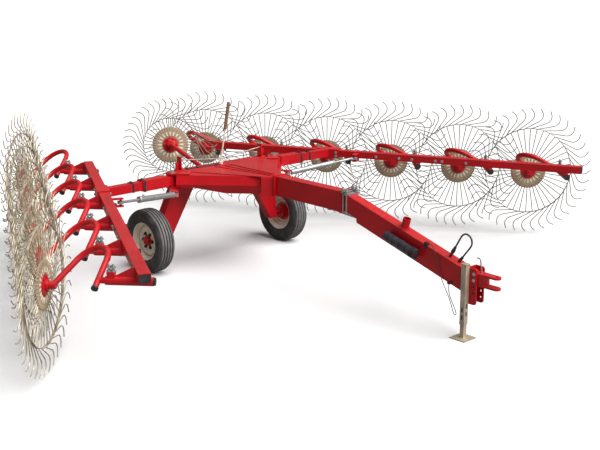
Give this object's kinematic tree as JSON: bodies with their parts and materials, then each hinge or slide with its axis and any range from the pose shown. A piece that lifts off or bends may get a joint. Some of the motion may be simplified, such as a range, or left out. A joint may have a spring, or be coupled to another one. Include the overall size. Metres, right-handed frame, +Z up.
{
  "type": "carted wheel rake",
  "caption": "Towed V-shaped wheel rake for hay: delta frame on two tyres, swept wings of tined wheels on crank arms, centre kicker wheel, drawbar with jack.",
  "frame": {"origin": "on the ground under the middle of the overall length and width", "axes": "+X forward to the hitch, +Y to the machine's left, +Z up"},
  "size_m": [6.3409, 7.622, 1.7313],
  "materials": {
    "red_paint": "gloss",
    "tine_steel": "dull wire",
    "cream_paint": "satin",
    "rubber": "matte",
    "black_plastic": "matte",
    "bright_steel": "zinc"
  },
  "bodies": {
    "root": {"main_frame": "red_paint", "frame_deck": "red_paint", "axle_legs": "red_paint", "wing_pins": "bright_steel", "tongue_rear": "red_paint", "tongue_front": "red_paint", "tongue_clamps": "bright_steel", "hitch_head": "red_paint", "hitch_clevis": "red_paint", "jack_tube": "cream_paint", "jack_store": "red_paint", "document_tube": "black_plastic", "hose": "black_plastic", "cable": "black_plastic", "cord_fittings": "bright_steel", "kicker_arm": "red_paint", "kicker_lever": "bright_steel"},
    "jack_foot": {"jack_leg": "cream_paint"},
    "kicker": {"kicker_wheel": "tine_steel"},
    "left_wing": {"left_beam": "red_paint", "left_wing_arm": "red_paint", "left_stubs": "red_paint", "left_cranks": "red_paint", "left_crank_caps": "black_plastic", "left_ram_lug": "red_paint"},
    "left_ram": {"left_ram_barrel": "bright_steel"},
    "left_rod": {"left_ram_rod": "bright_steel"},
    "left_transport_wheel": {"left_rim": "cream_paint", "left_tyre": "rubber"},
    "left_rake_1": {"left_rake_wheel_1": "tine_steel"},
    "left_rake_2": {"left_rake_wheel_2": "tine_steel"},
    "left_rake_3": {"left_rake_wheel_3": "tine_steel"},
    "left_rake_4": {"left_rake_wheel_4": "tine_steel"},
    "left_rake_5": {"left_rake_wheel_5": "tine_steel"},
    "left_rake_6": {"left_rake_wheel_6": "tine_steel"},
    "right_wing": {"right_beam": "red_paint", "right_wing_arm": "red_paint", "right_stubs": "red_paint", "right_cranks": "red_paint", "right_crank_caps": "black_plastic", "right_ram_lug": "red_paint"},
    "right_ram": {"right_ram_barrel": "bright_steel"},
    "right_rod": {"right_ram_rod": "bright_steel"},
    "right_transport_wheel": {"right_rim": "cream_paint", "right_tyre": "rubber"},
    "right_rake_1": {"right_rake_wheel_1": "tine_steel"},
    "right_rake_2": {"right_rake_wheel_2": "tine_steel"},
    "right_rake_3": {"right_rake_wheel_3": "tine_steel"},
    "right_rake_4": {"right_rake_wheel_4": "tine_steel"},
    "right_rake_5": {"right_rake_wheel_5": "tine_steel"},
    "right_rake_6": {"right_rake_wheel_6": "tine_steel"}
  },
  "joints": [
    {"name": "jack_slide", "type": "slide", "parent": "root", "child": "jack_foot", "axis": [0, 0, 1], "range_m": [0, 0.11]},
    {"name": "kicker_spin", "type": "hinge", "parent": "root", "child": "kicker", "pos_m": [-1.59957, 0, 1.135], "axis": [0.7777, -0.565, 0.2756], "continuous": true},
    {"name": "left_wheel_spin", "type": "hinge", "parent": "root", "child": "left_transport_wheel", "pos_m": [-0.71457, 0.95, 0.345], "axis": [0, 1, 0], "continuous": true},
    {"name": "left_wing_fold", "type": "hinge", "parent": "root", "child": "left_wing", "pos_m": [-0.60957, 0.72, 0.985], "axis": [0, 0, -1], "range_deg": [0, 26.5]},
    {"name": "left_ram_swing", "type": "hinge", "parent": "root", "child": "left_ram", "pos_m": [-0.43957, 0.79, 0.868], "axis": [0, 0, -1], "range_deg": [0, 32]},
    {"name": "left_ram_stroke", "type": "slide", "parent": "left_ram", "child": "left_rod", "axis": [-0.2683, -0.9574, -0.1069], "range_m": [0, 0.06]},
    {"name": "left_rake_spin_1", "type": "hinge", "parent": "left_wing", "child": "left_rake_1", "pos_m": [1.1046, 3.24967, 0.78], "axis": [0.7431, -0.6691, 0], "continuous": true},
    {"name": "left_rake_spin_2", "type": "hinge", "parent": "left_wing", "child": "left_rake_2", "pos_m": [0.35036, 2.86868, 0.78], "axis": [0.7431, -0.6691, 0], "continuous": true},
    {"name": "left_rake_spin_3", "type": "hinge", "parent": "left_wing", "child": "left_rake_3", "pos_m": [-0.40387, 2.48769, 0.78], "axis": [0.7431, -0.6691, 0], "continuous": true},
    {"name": "left_rake_spin_4", "type": "hinge", "parent": "left_wing", "child": "left_rake_4", "pos_m": [-1.15811, 2.1067, 0.78], "axis": [0.7431, -0.6691, 0], "continuous": true},
    {"name": "left_rake_spin_5", "type": "hinge", "parent": "left_wing", "child": "left_rake_5", "pos_m": [-1.91234, 1.72571, 0.78], "axis": [0.7431, -0.6691, 0], "continuous": true},
    {"name": "left_rake_spin_6", "type": "hinge", "parent": "left_wing", "child": "left_rake_6", "pos_m": [-2.66658, 1.34472, 0.78], "axis": [0.7431, -0.6691, 0], "continuous": true},
    {"name": "right_wheel_spin", "type": "hinge", "parent": "root", "child": "right_transport_wheel", "pos_m": [-0.71457, -0.95, 0.345], "axis": [0, 1, 0], "continuous": true},
    {"name": "right_wing_fold", "type": "hinge", "parent": "root", "child": "right_wing", "pos_m": [-0.60957, -0.72, 0.985], "axis": [0, 0, 1], "range_deg": [0, 26.5]},
    {"name": "right_ram_swing", "type": "hinge", "parent": "root", "child": "right_ram", "pos_m": [-0.43957, -0.79, 0.868], "axis": [0, 0, 1], "range_deg": [0, 32]},
    {"name": "right_ram_stroke", "type": "slide", "parent": "right_ram", "child": "right_rod", "axis": [-0.2683, 0.9574, -0.1069], "range_m": [0, 0.06]},
    {"name": "right_rake_spin_1", "type": "hinge", "parent": "right_wing", "child": "right_rake_1", "pos_m": [1.1046, -3.24967, 0.78], "axis": [0.7431, 0.6691, 0], "continuous": true},
    {"name": "right_rake_spin_2", "type": "hinge", "parent": "right_wing", "child": "right_rake_2", "pos_m": [0.35036, -2.86868, 0.78], "axis": [0.7431, 0.6691, 0], "continuous": true},
    {"name": "right_rake_spin_3", "type": "hinge", "parent": "right_wing", "child": "right_rake_3", "pos_m": [-0.40387, -2.48769, 0.78], "axis": [0.7431, 0.6691, 0], "continuous": true},
    {"name": "right_rake_spin_4", "type": "hinge", "parent": "right_wing", "child": "right_rake_4", "pos_m": [-1.15811, -2.1067, 0.78], "axis": [0.7431, 0.6691, 0], "continuous": true},
    {"name": "right_rake_spin_5", "type": "hinge", "parent": "right_wing", "child": "right_rake_5", "pos_m": [-1.91234, -1.72571, 0.78], "axis": [0.7431, 0.6691, 0], "continuous": true},
    {"name": "right_rake_spin_6", "type": "hinge", "parent": "right_wing", "child": "right_rake_6", "pos_m": [-2.66658, -1.34472, 0.78], "axis": [0.7431, 0.6691, 0], "continuous": true}
  ],
  "couplings": [
    {"joint": "left_ram_swing", "follows": "left_wing_fold", "ratio": 1.165},
    {"joint": "left_ram_stroke", "follows": "left_wing_fold", "m_per_rad": 0.1155},
    {"joint": "right_ram_swing", "follows": "right_wing_fold", "ratio": 1.165},
    {"joint": "right_ram_stroke", "follows": "right_wing_fold", "m_per_rad": 0.1155}
  ]
}
